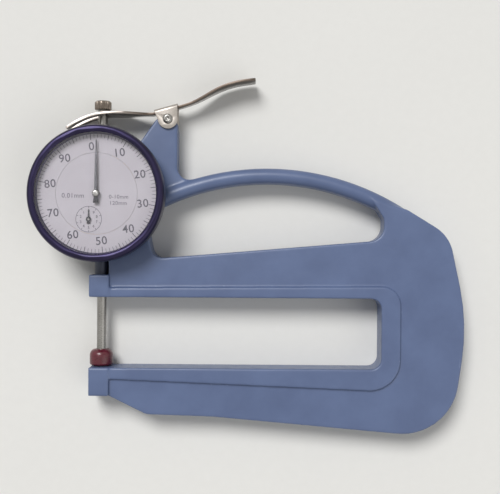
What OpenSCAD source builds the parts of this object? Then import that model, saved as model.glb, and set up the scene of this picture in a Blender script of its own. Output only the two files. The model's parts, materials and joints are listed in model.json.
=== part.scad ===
// Deep-throat dial thickness gauge: cast frame with a carrying handle, dial indicator movement,
// spring-loaded spindle and a thumb lever that lifts it.
// The gauge lies on its back: +X runs into the throat, +Y up the spindle, +Z out of the dial.
// The origin is on the back plane, under the middle of the dial.

/* [Frame casting] */
// Distance from the spindle axis to the end of the throat
throat_depth = 120; // [112:1:128]
// Height of the throat between the arms
throat_h = 30; // [26:0.5:34]
// Distance from the middle of the dial down to the throat
dial_drop = 43.5; // [42:0.5:46]
// Thickness of the frame at its raised rim
frame_t = 15; // [14.5:0.25:17]
// Height of the rim above the web, on each face
rim_step = 1.5; // [0.75:0.25:2]
// Width of the rim along the upper arm, at the front
rim_upper_w = 4; // [3:0.25:5]
// Width of the rim across the end of the throat
rim_end_w = 8.2; // [6:0.2:10]
// Width of the rim along the lower arm, at the front
rim_lower_w = 4.8; // [3.5:0.1:6]
// Radius of the throat's two inner corners
throat_corner_r = 4.5; // [3:0.5:6]
// Width of the casting behind the throat
back_w = 35; // [30:1:40]
// Height of the upper arm at the front, above the throat
upper_arm_h = 14.5; // [13:0.1:16]
// Rise of the upper arm's top edge from front to rear
upper_arm_rise = 10.4; // [9:0.1:12]
// Distance from the spindle axis to the right edge of the neck under the dial
neck_x = 22.5; // [20:0.5:25]
// Height of the lower arm just behind its boss
lower_arm_h = 20; // [18:0.5:23]
// Drop of the lower arm's bottom edge from front to rear
lower_arm_drop = 9.5; // [7:0.5:12]
// Width of the front bosses to the left of the spindle axis
boss_left = 4.4; // [4.2:0.1:5]
// Width of the front bosses to the right of the spindle axis
boss_right = 4.2; // [4.1:0.1:5]
// Height of the upper boss
upper_boss_h = 9.5; // [8:0.5:11]
// Height of the lower boss
lower_boss_h = 12; // [11:0.5:13.5]
// How far the bosses stand proud of the rim
boss_proud = 0.5; // [0.25:0.05:0.8]
// Thickness of the round plate behind the dial
head_t = 3.5; // [3.2:0.1:3.8]
// Radius of the round plate behind the dial
head_r = 24; // [23.6:0.1:25]

/* [Handle and ear] */
// Outer radius of the handle's arch
handle_outer_r = 110.4; // [106:0.2:115]
// Height of the arch's crown above the middle of the dial
handle_crown = 12; // [10:0.5:14]
// Width of the handle, seen from the front
handle_w = 6.7; // [6:0.1:8]
// Depth of the handle, front to back
handle_d = 11; // [9:0.5:12]
// Distance of the ear's straight edge from the spindle axis
ear_x = 32.5; // [31.8:0.1:34]
// Thickness of the ear between the lever's cheeks
ear_t = 6.6; // [6:0.1:6.8]

/* [Dial] */
// Outside diameter of the bezel
bezel_d = 57; // [56:0.5:59]
// Diameter of the dial that shows inside the bezel
window_d = 50.6; // [49.5:0.1:51]
// Outside diameter of the movement case
case_d = 52; // [51.5:0.1:52.6]
// Wall of the movement case
case_wall = 1.5; // [1.2:0.1:1.8]
// Floor of the movement case
case_floor = 1.3; // [1.1:0.05:1.4]
// Thickness of the dial and of its turning ring
dial_t = 0.6; // [0.4:0.1:0.8]
// Radius where the turning ring meets the fixed middle of the dial
ring_inner_r = 17; // [16.5:0.1:17.5]
// Thickness of the crystal
crystal_t = 1.2; // [0.8:0.1:1.6]
// Length of the main pointer from its axis to its tip
pointer_len = 22.8; // [20:0.1:23.2]

/* [Spindle] */
// Diameter of the spindle
spindle_d = 4; // [3.9:0.05:4.1]
// Travel of the spindle
travel = 10; // [8:0.5:10]
// Diameter of the contact tip
contact_d = 10; // [9:0.5:11]
// Height of the contact tip
contact_h = 7.1; // [6.5:0.1:8]
// Diameter of the knurled lifting cap
cap_d = 7.2; // [6.8:0.1:7.6]
// Height of the knurled lifting cap
cap_h = 3.9; // [3.5:0.1:5]
// Outside diameter of the lower guide stem
stem_d = 6; // [5.8:0.1:6.2]

/* [Lever] */
// Distance from the spindle axis to the lever's pivot
pivot_x = 28.3; // [27.5:0.1:28.8]
// Height of the lever's pivot above the middle of the dial
pivot_y = 32.9; // [32.5:0.1:33.5]
// Diameter of the pivot pin
pivot_d = 2.5; // [2.2:0.1:2.8]
// Thickness of the lever strip
strip_t = 1; // [0.8:0.05:1.2]
// Thickness of the saddle's sheet
saddle_t = 0.9; // [0.7:0.05:1]
// Width of the fork under the lifting cap
fork_w = 14; // [12:0.5:14.5]
// Width of the thumb pad
thumb_w = 11; // [10:0.5:14]

/* [Movement] */
// Pitch of the rack on the spindle
rack_pitch = 0.625; // [0.6:0.005:0.63]
// Teeth of the pinion that the rack drives
rack_pinion_teeth = 16; // [15:1:17]
// Teeth of the counter gear and of the take-up gear
gear_teeth = 100; // [96:1:104]
// Teeth of the centre pinion
centre_teeth = 10; // [10:1:11]
// Room between the take-up gear's pitch circle and the neck of the case
gear_room = 2; // [1.9:0.05:2.3]
// Thickness of the movement's plates
plate_t = 0.8; // [0.6:0.05:0.9]
// Thickness of the gears
gear_t = 0.8; // [0.6:0.1:0.9]

/* [Hidden] */
$fn = 96;
arc_step = 6;
eps = 0.01;

// Clearances
running_gap = 0.04;
press_gap = 0.01;
seat_gap = 0.2;
zero_gap = 0.02;
plate_gap = 0.5;

// Heights above the back plane
spindle_room = 0.8;
gear_gap = 1.6;
wheel_gap = 2;
bridge_gap = 1.8;
dial_foot_h = 3.7;
counter_pointer_rise = 0.4;
pointer_rise = 1.4;
crystal_rise = 3;
bezel_skirt = 3.4;
bezel_lip = 0.6;
spindle_z = frame_t / 2;
spindle_r = spindle_d / 2;
case_r = case_d / 2;
case_in_r = case_r - case_wall;
neck_step = 1.3;
neck_wall = 1.4;
neck_r = case_r - neck_step;
neck_in_r = neck_r - neck_wall;
floor_z = head_t + case_floor;
middle_plate_z = spindle_z + spindle_r + spindle_room;
counter_gear_z = middle_plate_z + plate_t + gear_gap;
take_up_gear_z = counter_gear_z + gear_t + wheel_gap;
bridge_z = take_up_gear_z + gear_t + bridge_gap;
dial_z = bridge_z + plate_t + dial_foot_h;
dial_top_z = dial_z + dial_t;
counter_pointer_z = dial_top_z + counter_pointer_rise;
pointer_z = dial_top_z + pointer_rise;
crystal_z = dial_top_z + crystal_rise;
bezel_top_z = crystal_z + crystal_t + bezel_lip;
bezel_low_z = dial_z - bezel_skirt;

// Section of the bezel's rim: its round crown, the bevel inside it and the ledge under the crystal
bezel_rim_w = (bezel_d - window_d) / 2;
bezel_crown_h = 2.6;
bezel_crown_w = min(1.5, 0.47 * bezel_rim_w);
bezel_lip_w = min(0.9, 0.3 * bezel_rim_w);
crystal_ledge = 0.1875 * bezel_rim_w;

// Pointers
pointer_tail = 4;
counter_pointer_len = 4.4;
counter_pointer_tail = 1.9;

// Throat and outline of the casting
throat_top_y = -dial_drop;
throat_low_y = throat_top_y - throat_h;
throat_mid_y = (throat_top_y + throat_low_y) / 2;
back_x = throat_depth + back_w;
arm_top_front_y = throat_top_y + upper_arm_h;
arm_top_rear_y = arm_top_front_y + upper_arm_rise;
arm_low_front_y = throat_low_y - lower_arm_h;
heel_y = arm_low_front_y - lower_arm_drop;
boss_t = frame_t + boss_proud;
web_x = boss_right - 0.5;
window_x = throat_depth + 1;
function arm_top_at(x) = arm_top_front_y + x * upper_arm_rise / window_x;

// Handle: one arch from the back of the casting to the ear
handle_root = 8;
handle_cx = back_x / 2 - 6;
handle_cy = handle_crown - handle_outer_r;
handle_mid_r = handle_outer_r - handle_w / 2;
handle_rear_deg = acos((window_x + 7 - handle_cx) / handle_mid_r);
handle_root_deg = acos((ear_x - handle_root - handle_cx) / handle_mid_r);
function arch_y(r, x) = handle_cy + sqrt(r * r - pow(x - handle_cx, 2));

// Lever
pivot = [pivot_x, pivot_y];
ear_tip_r = 3.2;
ear_heel = [-5.2, -0.4];
ear_foot = [-15, -14.4];
saddle_deg = 15.6;
saddle_gap = ear_t + 0.6;
saddle_w = saddle_gap + 2 * saddle_t;
saddle_bend = 1.6;
saddle_roof = ear_tip_r + 0.2 + strip_t + saddle_t;
saddle_front = 4.8;
saddle_rear = 4.15;
cheek_r = 4.3;
cap_over_pivot = 3.9;
cap_low_y = pivot_y + cap_over_pivot;
cap_top_y = cap_low_y + cap_h;

// Gear train
rack_pinion_r = rack_pitch * rack_pinion_teeth / (2 * PI);
rack_line_x = -(spindle_r - 0.45);
gear_reach = neck_in_r - gear_room;
centre_distance = gear_reach * (gear_teeth + centre_teeth) / (2 * gear_teeth + centre_teeth);
counter_x = rack_line_x - rack_pinion_r;
counter_drop = sqrt(pow(centre_distance, 2) - pow(counter_x, 2));
counter_arbor = [counter_x, -counter_drop];
gear_module = 2 * centre_distance / (gear_teeth + centre_teeth);
take_up_deg = 150;
take_up_arbor = centre_distance * [cos(take_up_deg), sin(take_up_deg)];
counter_mesh_deg = atan2(counter_arbor.y, counter_arbor.x);
arbor_r = 0.6;
pivot_r = 0.4;
bush_r = 1.1;
rack_tooth_h = 0.19;
pinion_face = 2.4;

// Pillars that carry the movement's plates, and the screws that come in from behind
plate_r = neck_in_r - plate_gap;
pillar_r = 1.7;
pillar_edge = 0.4;
pillar_ring_r = plate_r - pillar_r - pillar_edge;
pillars = [for (a = [30, -53, 202]) pillar_ring_r * [cos(a), sin(a)]];
plate_flat_edge = 1.3;
plate_top_y = pillars[0].y + pillar_r + plate_flat_edge;
plate_low_y = pillars[1].y - pillar_r - plate_flat_edge;
stud_r = 0.7;
screw_r = 1;
screw_head_r = 2.1;
screw_head_h = 1.5;

// Guide arm and return spring, beside the spindle
guide_rest_y = 4;
guide_rod_x = 5.5;
guide_rod_r = 0.75;
hook_x = 8.2;
spring_low_y = -17.4;
spring_high_y = 2.2;
spring_r = 1;
wire_r = 0.18;
spring_turns = 16;

// Hairspring on the take-up arbor
hairspring_turns = 6;
hairspring_in_r = 1.02;
hairspring_out_r = 4.6;
hairspring_t = 0.12;
hairspring_h = 0.6;
hairspring_z = spindle_z - 0.7;

// Outlines with rounded corners: each corner is [x, y] or [x, y, radius]

function unit(v) = v / norm(v);
function flat(lists) = [for (list = lists) for (item = list) item];

function corner_arc(before, corner, after, r) =
    let (
        a = unit(before - corner),
        b = unit(after - corner),
        half = acos(a * b) / 2,
        centre = corner + unit(a + b) * r / sin(half),
        from = corner + a * r / tan(half) - centre,
        sweep = 180 - 2 * half,
        turn = sign(a.y * b.x - a.x * b.y),
        steps = max(2, ceil(sweep / arc_step)),
        start = atan2(from.y, from.x)
    )
    [for (i = [0:steps])
        let (a = start + turn * sweep * i / steps)
        centre + r * [cos(a), sin(a)]];

function xy(p) = [p.x, p.y];
function corner_points(before, corner, after) =
    len(corner) == 3 && corner[2] > 0
        ? corner_arc(xy(before), xy(corner), xy(after), corner[2])
        : [xy(corner)];

function rounded(corners) =
    let (n = len(corners))
    flat([for (i = [0:n - 1]) corner_points(corners[(i + n - 1) % n], corners[i], corners[(i + 1) % n])]);

// The same for an open line: the two ends stay sharp
function rounded_line(corners) =
    let (n = len(corners))
    flat([
        [xy(corners[0])],
        flat([for (i = [1:n - 2]) corner_points(corners[i - 1], corners[i], corners[i + 1])]),
        [xy(corners[n - 1])]
    ]);

// A sheet of even thickness that follows an open line, seen on edge
function line_normal(points, i) =
    let (
        a = points[max(i - 1, 0)],
        b = points[min(i + 1, len(points) - 1)],
        along = unit(b - a)
    )
    [-along.y, along.x];

module bent_sheet_2d(points, t) {
    last = len(points) - 1;
    above = [for (i = [0:last]) points[i] + line_normal(points, i) * t / 2];
    below = [for (i = [last:-1:0]) points[i] - line_normal(points, i) * t / 2];
    polygon(concat(above, below));
}

// Round rods along the spindle's direction and across the frame

module rod_y(r, from, to, x = 0, z = spindle_z) {
    translate([x, from, z]) rotate([-90, 0, 0]) cylinder(r = r, h = to - from);
}

module rod_z(r, from, to, at = [0, 0]) {
    translate([at.x, at.y, from]) cylinder(r = r, h = to - from);
}

module turned_y(profile) {
    // Revolves [radius, y] points about the spindle's axis
    translate([0, 0, spindle_z]) rotate([-90, 0, 0]) rotate_extrude() polygon(profile);
}

// Frame casting

module throat_2d() {
    polygon(rounded([
        [-2 * boss_left, throat_top_y],
        [-2 * boss_left, throat_low_y],
        [throat_depth, throat_low_y, throat_corner_r],
        [throat_depth, throat_top_y, throat_corner_r]
    ]));
}

module body_2d() {
    rear_x = throat_depth + 11;
    polygon(rounded([
        [web_x, throat_low_y - lower_boss_h],
        [boss_right + 16, arm_low_front_y, 6],
        [boss_right + 44, arm_low_front_y - 0.8, 60],
        [back_x - 5.2, heel_y, 24],
        [back_x + 2, throat_mid_y + 4.5, 90],
        [back_x - 6, arm_top_rear_y + 2.1, 16],
        [rear_x, arch_y(handle_outer_r, rear_x)],
        [window_x - 5.5, arch_y(handle_mid_r, window_x - 5.5)],
        [window_x, arm_top_rear_y + 9.1, 4],
        [window_x, arm_top_rear_y, 6.5],
        [web_x, arm_top_at(web_x)]
    ]));
}

module neck_2d() {
    // Joins the plate behind the dial to the upper arm, beside the stem
    polygon(rounded([
        [web_x, throat_top_y + upper_boss_h - 1],
        [web_x, -0.75 * head_r],
        [neck_x - 2, -0.7 * head_r],
        [neck_x, arm_top_at(neck_x), 5],
        [neck_x + 14, arm_top_at(neck_x + 14)],
        [neck_x + 14, arm_top_at(neck_x + 14) - 4]
    ]));
}

module rim_2d() {
    polygon(rounded([
        [web_x, throat_top_y + rim_upper_w],
        [web_x, throat_low_y - rim_lower_w],
        [throat_depth + rim_end_w, throat_low_y - rim_lower_w - 4.8, 13],
        [throat_depth + rim_end_w, throat_top_y + rim_upper_w + 1.2, 8]
    ]));
}

module ear_2d() {
    root_x = ear_x + 7;
    hidden_x = ear_x - handle_root;
    circle_at(pivot, ear_tip_r);
    polygon(rounded([
        pivot + ear_foot,
        concat(pivot + ear_heel, [1.5]),
        on_saddle(-0.6, ear_tip_r - 0.3),
        [pivot_x + ear_tip_r - 0.4, pivot_y],
        [ear_x, pivot_y - 2.2, 1.5],
        [ear_x, arch_y(handle_outer_r, ear_x + 3), 5],
        [root_x, arch_y(handle_outer_r, root_x)],
        [root_x, arch_y(handle_mid_r, root_x)],
        [hidden_x, arch_y(handle_mid_r, hidden_x)],
        [hidden_x - handle_root, 0]
    ]));
}

module circle_at(at, r) {
    translate(at) circle(r = r);
}

module handle_section_2d(r) {
    // Stadium section of the handle, at its distance from the arch's middle
    swell = (handle_d - handle_w) / 2;
    for (side = [-1, 1])
        translate([r, side * swell]) circle(d = handle_w);
    translate([r - handle_w / 2, -swell]) square([handle_w, 2 * swell]);
}

module handle() {
    translate([handle_cx, handle_cy, spindle_z])
        rotate(handle_rear_deg)
            rotate_extrude(angle = handle_root_deg - handle_rear_deg)
                handle_section_2d(handle_mid_r);
}

module boss(low_y, high_y) {
    translate([-boss_left, low_y, 0])
        cube([boss_left + boss_right, high_y - low_y, boss_t]);
}

module frame() {
    ear_top_z = spindle_z + ear_t / 2;
    color("#5f7196") difference() {
        union() {
            translate([0, 0, rim_step]) linear_extrude(frame_t - 2 * rim_step) difference() {
                body_2d();
                throat_2d();
            }
            linear_extrude(frame_t) difference() {
                rim_2d();
                throat_2d();
            }
            boss(throat_top_y, throat_top_y + upper_boss_h);
            boss(throat_low_y - lower_boss_h, throat_low_y);
            linear_extrude(head_t) circle(r = head_r);
            linear_extrude(frame_t - rim_step) neck_2d();
            linear_extrude(ear_top_z) ear_2d();
            handle();
        }
        rod_z(case_r + seat_gap, head_t, 2 * frame_t);
        rod_y(stem_d / 2 + press_gap, throat_top_y - 1, -head_r);
        rod_y(anvil_r + press_gap, throat_low_y - anvil_depth, throat_low_y + 1);
        rod_z(pivot_d / 2 + press_gap, -1, frame_t, pivot);
        rod_z(cheek_r + 1.4, -1, spindle_z - ear_t / 2, pivot);
        for (at = pillars) {
            rod_z(screw_r + seat_gap, -1, head_t + 1, at);
            rod_z(screw_head_r + seat_gap, -1, screw_head_h + seat_gap, at);
        }
    }
}

// Guides of the spindle, anvil and lever pin

anvil_r = 3;
anvil_depth = 8;
anvil_proud = 0.3;
anvil_face_y = throat_low_y + anvil_proud;

module tube_y(outer_r, bore_r, from, to) {
    difference() {
        rod_y(outer_r, from, to);
        rod_y(bore_r, from - 1, to + 1);
    }
}

module lower_stem() {
    color("silver")
        tube_y(stem_d / 2, spindle_r + running_gap, throat_top_y, -case_in_r + 1);
}

upper_stem_r = 2.8;
upper_stem_top_y = case_r + 4.5;
stem_flat_y = case_r - 0.4;

module upper_stem() {
    color("silver") difference() {
        union() {
            rod_y(upper_stem_r, case_in_r - 1.5, upper_stem_top_y);
            rod_y(upper_stem_r + 0.9, stem_flat_y, stem_flat_y + 1.6);
        }
        rod_y(spindle_r + running_gap, case_in_r - 3, upper_stem_top_y + 1);
    }
}

module anvil() {
    edge = 0.3;
    color("silver") turned_y([
        [0, throat_low_y - anvil_depth],
        [anvil_r, throat_low_y - anvil_depth],
        [anvil_r, anvil_face_y - edge],
        [anvil_r - edge, anvil_face_y],
        [0, anvil_face_y]
    ]);
}

module lever_pin() {
    // Riveted pin with a dimpled head at each end
    head_r = 2.05;
    head_h = 1.1;
    reach = saddle_w / 2 + 0.1;
    color("silver") translate([pivot_x, pivot_y, spindle_z]) rotate_extrude() polygon([
        [0, -reach - head_h],
        [head_r - 0.6, -reach - head_h],
        [head_r, -reach - head_h + 0.5],
        [head_r, -reach],
        [pivot_d / 2, -reach],
        [pivot_d / 2, reach],
        [head_r, reach],
        [head_r, reach + head_h - 0.5],
        [head_r - 0.6, reach + head_h],
        [head_r - 1.1, reach + head_h],
        [0, reach + head_h - 0.6]
    ]);
}

// Movement case and what holds it to the frame

neck_top_z = dial_z - 0.2;
shoulder_z = bezel_low_z - 0.2;
ring_wire_r = 0.35;
ring_z = (shoulder_z + neck_top_z) / 2;

module dial_case() {
    color("#2b2a38") difference() {
        translate([0, 0, head_t]) rotate_extrude() polygon([
            [0, 0],
            [case_r - 0.6, 0],
            [case_r, 0.6],
            [case_r, shoulder_z - head_t],
            [neck_r, shoulder_z - head_t],
            [neck_r, neck_top_z - head_t],
            [neck_in_r, neck_top_z - head_t],
            [neck_in_r, shoulder_z - head_t - 1.2],
            [case_in_r, shoulder_z - head_t - 2.6],
            [case_in_r, case_floor],
            [0, case_floor]
        ]);
        translate([0, 0, ring_z]) rotate_extrude() translate([neck_r, 0]) circle(r = ring_wire_r + press_gap);
        rod_y(stem_d / 2 + press_gap, -case_r - 1, -case_in_r + 3);
        rod_y(upper_stem_r + press_gap, case_in_r - 3, case_r + 1);
        translate([-upper_stem_r - 2, stem_flat_y, spindle_z - upper_stem_r - 1.6])
            cube([2 * upper_stem_r + 4, case_wall, 2 * upper_stem_r + 3.2]);
        for (at = [counter_arbor, take_up_arbor])
            rod_z(bush_r + press_gap, head_t - 1, floor_z + 1, at);
        for (at = pillars)
            rod_z(screw_r + seat_gap, head_t - 1, floor_z + 1, at);
    }
}

module case_screws() {
    // Countersunk flush in the back, with a slot for the driver
    color("silver") for (at = pillars) difference() {
        union() {
            rod_z(screw_head_r, 0.2, 0.2 + screw_head_h, at);
            rod_z(screw_r, screw_head_h, floor_z + 2.2, at);
        }
        translate([at.x - screw_head_r - 1, at.y - 0.3, 0]) cube([2 * screw_head_r + 2, 0.6, 0.8]);
    }
}

module bezel_retaining_ring() {
    color("silver") translate([0, 0, ring_z]) rotate(5)
        rotate_extrude(angle = 350) translate([neck_r, 0]) circle(r = ring_wire_r);
}

// Plates of the movement

module plate_2d() {
    // Round plate with a flat above and a flat below
    intersection() {
        circle(r = plate_r);
        translate([-plate_r - 1, plate_low_y]) square([2 * plate_r + 2, plate_top_y - plate_low_y]);
    }
}

module lower_pillars() {
    color("goldenrod") for (at = pillars) difference() {
        rod_z(pillar_r, floor_z, middle_plate_z, at);
        rod_z(screw_r + press_gap, floor_z - 1, floor_z + 2.4, at);
        rod_z(stud_r + press_gap, middle_plate_z - 1.4, middle_plate_z + 1, at);
    }
}

module middle_plate() {
    color("goldenrod") translate([0, 0, middle_plate_z]) linear_extrude(plate_t) difference() {
        plate_2d();
        circle(r = bush_r + press_gap);
        circle_at(counter_arbor, arbor_r + 0.5);
        circle_at(take_up_arbor, arbor_r + 0.5);
        for (at = pillars)
            circle_at(at, stud_r + press_gap);
    }
}

module upper_pillars() {
    color("goldenrod") for (at = pillars) difference() {
        union() {
            rod_z(pillar_r, middle_plate_z + plate_t, bridge_z, at);
            rod_z(stud_r, middle_plate_z - 1.2, middle_plate_z + plate_t + 0.5, at);
        }
        rod_z(stud_r + press_gap, bridge_z - 1.8, bridge_z + 1, at);
    }
}

module bridge_plate() {
    color("goldenrod") translate([0, 0, bridge_z]) linear_extrude(plate_t) difference() {
        plate_2d();
        for (at = [[0, 0], counter_arbor, take_up_arbor])
            circle_at(at, bush_r + press_gap);
        for (at = pillars)
            circle_at(at, stud_r + press_gap);
    }
}

module bridge_screws() {
    head_z = bridge_z + plate_t;
    color("silver") for (at = pillars) difference() {
        union() {
            rod_z(stud_r, bridge_z - 1.6, head_z + 0.2, at);
            rod_z(stud_r + 0.6, head_z, head_z + 0.5, at);
        }
        translate([at.x - 2, at.y - 0.15, head_z + 0.25]) cube([4, 0.3, 1]);
    }
}

module bush(at, low_z, high_z, bore_r) {
    difference() {
        rod_z(bush_r, low_z, high_z, at);
        rod_z(bore_r + running_gap, low_z - 1, high_z + 1, at);
    }
}

module floor_bushes() {
    color("tomato") for (at = [counter_arbor, take_up_arbor])
        bush(at, head_t, floor_z, pivot_r);
}

module plate_bush() {
    color("tomato") bush([0, 0], middle_plate_z, middle_plate_z + plate_t, pivot_r);
}

module bridge_bushes() {
    color("tomato") for (at = [[0, 0], counter_arbor, take_up_arbor])
        bush(at, bridge_z, bridge_z + plate_t, pivot_r);
}

// Guide, return spring and hairspring

guide_arm_t = 2.4;
guide_arm_z = spindle_z - 1.2;
guide_base_z = floor_z + 0.5;

module guide_bracket() {
    low_y = guide_rest_y - guide_arm_t / 2 - 2.2;
    high_y = guide_rest_y + travel + guide_arm_t / 2 + 0.4;
    post = 1.6;
    color("goldenrod") difference() {
        translate([guide_rod_x - 1.3, 0, 0]) {
            translate([0, low_y, floor_z]) cube([2.6, high_y + post - low_y, guide_base_z - floor_z]);
            for (y = [low_y, high_y])
                translate([0, y, floor_z]) cube([2.6, post, spindle_z + 1.6 - floor_z]);
        }
        rod_y(guide_rod_r + press_gap, low_y - 1, high_y + post + 1, guide_rod_x);
    }
}

module guide_rod() {
    low_y = guide_rest_y - guide_arm_t / 2 - 2.2;
    high_y = guide_rest_y + travel + guide_arm_t / 2 + 0.4;
    color("silver") rod_y(guide_rod_r, low_y, high_y + 1.6, guide_rod_x);
}

module spring_post() {
    color("silver") rod_z(0.6, floor_z, spindle_z + 1.6, [hook_x, spring_low_y - 1]);
}

function coil_point(a) = [
    hook_x + spring_r * cos(a),
    spring_low_y + wire_r + (spring_high_y - spring_low_y - 2 * wire_r) * a / (360 * spring_turns),
    spindle_z + spring_r * sin(a)
];

module return_spring() {
    sides = 6;
    per_turn = 12;
    rings = per_turn * spring_turns;
    points = flat([for (i = [0:rings])
        let (a = 360 * i / per_turn, out = [cos(a), 0, sin(a)])
        [for (s = [0:sides - 1])
            coil_point(a) + wire_r * (cos(360 * s / sides) * out + sin(360 * s / sides) * [0, 1, 0])]
    ]);
    walls = flat([for (i = [0:rings - 1]) flat([for (s = [0:sides - 1])
        let (t = (s + 1) % sides, a = i * sides, b = (i + 1) * sides)
        [[a + s, b + s, b + t], [a + s, b + t, a + t]]
    ])]);
    first = [for (s = [0:sides - 1]) s];
    last = [for (s = [sides - 1:-1:0]) rings * sides + s];
    color("silver") polyhedron(points, concat([first], walls, [last]));
}

function spiral_point(a, shift) =
    let (r = hairspring_in_r + (hairspring_out_r - hairspring_in_r) * a / (360 * hairspring_turns) + shift)
    r * [cos(a), sin(a)];

module hairspring() {
    per_turn = 24;
    steps = per_turn * hairspring_turns;
    inner = [for (i = [0:steps]) spiral_point(360 * i / per_turn, 0)];
    outer = [for (i = [steps:-1:0]) spiral_point(360 * i / per_turn, hairspring_t)];
    color("silver") translate([take_up_arbor.x, take_up_arbor.y, hairspring_z])
        linear_extrude(hairspring_h) polygon(concat(inner, outer));
}

module hairspring_stud() {
    // Stands on the case floor where the spiral's outer end stops
    stud = 0.5;
    reach = hairspring_out_r + hairspring_t + stud + press_gap;
    color("goldenrod")
        rod_z(stud, floor_z, hairspring_z + hairspring_h, take_up_arbor + [reach, 0]);
}

// Spindle and what is fixed to it

contact_low_y = anvil_face_y + zero_gap;
contact_top_y = contact_low_y + contact_h;
spigot_r = 1.25;
cross_pin_r = 0.8;

module rack_gaps_2d() {
    // Gaps between the rack's teeth, with one gap level with the counter arbor at rest
    gap = rack_pitch / 2 + 0.06;
    slope = 0.07;
    count = ceil((travel + 2) / rack_pitch);
    for (i = [-count:2])
        translate([rack_line_x, -counter_drop + i * rack_pitch]) polygon([
            [-1.5, gap / 2 + slope * 1.5 / rack_tooth_h],
            [-1.5, -gap / 2 - slope * 1.5 / rack_tooth_h],
            [rack_tooth_h + 0.06, -gap / 2 + slope * 1.3],
            [rack_tooth_h + 0.06, gap / 2 - slope * 1.3]
        ]);
}

module spindle() {
    rack_low_y = -counter_drop - travel - 1.5;
    rack_high_y = -counter_drop + 1.5;
    color("silver") difference() {
        union() {
            rod_y(spindle_r, contact_top_y, cap_low_y);
            rod_y(spigot_r, contact_top_y - 4, contact_top_y + 1);
            rod_y(spigot_r, cap_low_y - 1, cap_low_y + 2.8);
        }
        translate([rack_line_x - rack_tooth_h - 2, rack_low_y, 0])
            cube([2, rack_high_y - rack_low_y, 2 * spindle_z]);
        intersection() {
            linear_extrude(2 * spindle_z) rack_gaps_2d();
            translate([-spindle_r - 1, rack_low_y, 0])
                cube([spindle_r + 1, rack_high_y - rack_low_y, 2 * spindle_z]);
        }
        translate([-spindle_r + 0.6, guide_rest_y, spindle_z]) rotate([0, 90, 0])
            cylinder(r = cross_pin_r + press_gap, h = 2 * spindle_r);
    }
}

module contact_tip() {
    bulge = contact_d / 2;
    face = bulge - contact_rim;
    foot_r = 1;
    dome_r = 2.7;
    color("#5a2230") difference() {
        turned_y(concat(
            [
                [0, contact_low_y + contact_face_t],
                [face + press_gap, contact_low_y + contact_face_t],
                [face + press_gap, contact_low_y]
            ],
            [for (a = [0:18:90])
                [bulge - foot_r * (1 - sin(a)), contact_low_y + foot_r * (1 - cos(a))]],
            [for (a = [0:15:90])
                [bulge - dome_r * (1 - cos(a)), contact_top_y - dome_r * (1 - sin(a))]],
            [[0, contact_top_y]]
        ));
        rod_y(spigot_r + press_gap, contact_top_y - 4.1, contact_top_y + 1);
    }
}

contact_face_t = 0.8;
contact_rim = 1.4;

module contact_face() {
    color("silver") rod_y(contact_d / 2 - contact_rim, contact_low_y, contact_low_y + contact_face_t);
}

module lift_cap() {
    ridges = 24;
    groove = 0.25;
    cap_r = cap_d / 2;
    steps = 4 * ridges;
    outline = [for (i = [0:steps - 1])
        let (r = cap_r - (i % 4 < 2 ? 0 : groove))
        r * [cos(360 * i / steps), sin(360 * i / steps)]];
    color("#57504b") difference() {
        intersection() {
            translate([0, cap_low_y, spindle_z]) rotate([-90, 0, 0]) linear_extrude(cap_h) polygon(outline);
            turned_y([
                [0, cap_low_y],
                [cap_r - 0.4, cap_low_y],
                [cap_r + 0.1, cap_low_y + 0.5],
                [cap_r + 0.1, cap_top_y - 0.7],
                [cap_r - 0.6, cap_top_y],
                [0, cap_top_y]
            ]);
        }
        rod_y(spigot_r + press_gap, cap_low_y - 1, cap_low_y + 3);
    }
}

module guide_arm() {
    // Block that slides on the guide rod, pinned across the spindle, with a hook for the spring
    color("goldenrod") difference() {
        union() {
            translate([spindle_r - 0.5, guide_rest_y - guide_arm_t / 2, guide_arm_z])
                cube([hook_x + 1 - spindle_r + 0.5, guide_arm_t, 2.4]);
            translate([-spindle_r + 0.7, guide_rest_y, spindle_z]) rotate([0, 90, 0])
                cylinder(r = cross_pin_r, h = 2 * spindle_r);
            rod_z(0.4, guide_arm_z, guide_arm_z + 3.2, [hook_x, guide_rest_y]);
        }
        difference() {
            rod_y(spindle_r + press_gap, guide_rest_y - 3, guide_rest_y + 3);
            translate([-2 * spindle_r, guide_rest_y, spindle_z]) rotate([0, 90, 0])
                cylinder(r = cross_pin_r, h = 4 * spindle_r);
        }
        rod_y(guide_rod_r + running_gap, guide_rest_y - 3, guide_rest_y + 3, guide_rod_x);
    }
}

// Lifting lever

function on_saddle(along, above) =
    pivot + along * [cos(saddle_deg), sin(saddle_deg)] + above * [-sin(saddle_deg), cos(saddle_deg)];

strip_line_h = saddle_roof - saddle_t - strip_t / 2;
fork_reach = 14.7;
fork_drop = 4.6;
fork_bend_x = 5.4;
fork_bend_r = 32;
fork_taper = 18.3;
saddle_lead = 5.8;
thumb_start = 12.1;
thumb_run = 14.8;
thumb_rise = 8.4;
thumb_end_run = 26.9;
thumb_end_rise = 10;
thumb_bend_r = 40;

module strip_line_2d() {
    saddle_start = on_saddle(-saddle_lead, strip_line_h);
    thumb_root = on_saddle(thumb_start, strip_line_h);
    bent_sheet_2d(rounded_line([
        [-fork_reach, pivot_y - fork_drop],
        [-fork_bend_x, saddle_start.y, fork_bend_r],
        [saddle_start.x, saddle_start.y, 6],
        concat(thumb_root, [thumb_bend_r]),
        concat(thumb_root + [thumb_run, thumb_rise], [thumb_bend_r]),
        thumb_root + [thumb_end_run, thumb_end_rise]
    ]), strip_t);
}

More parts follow.
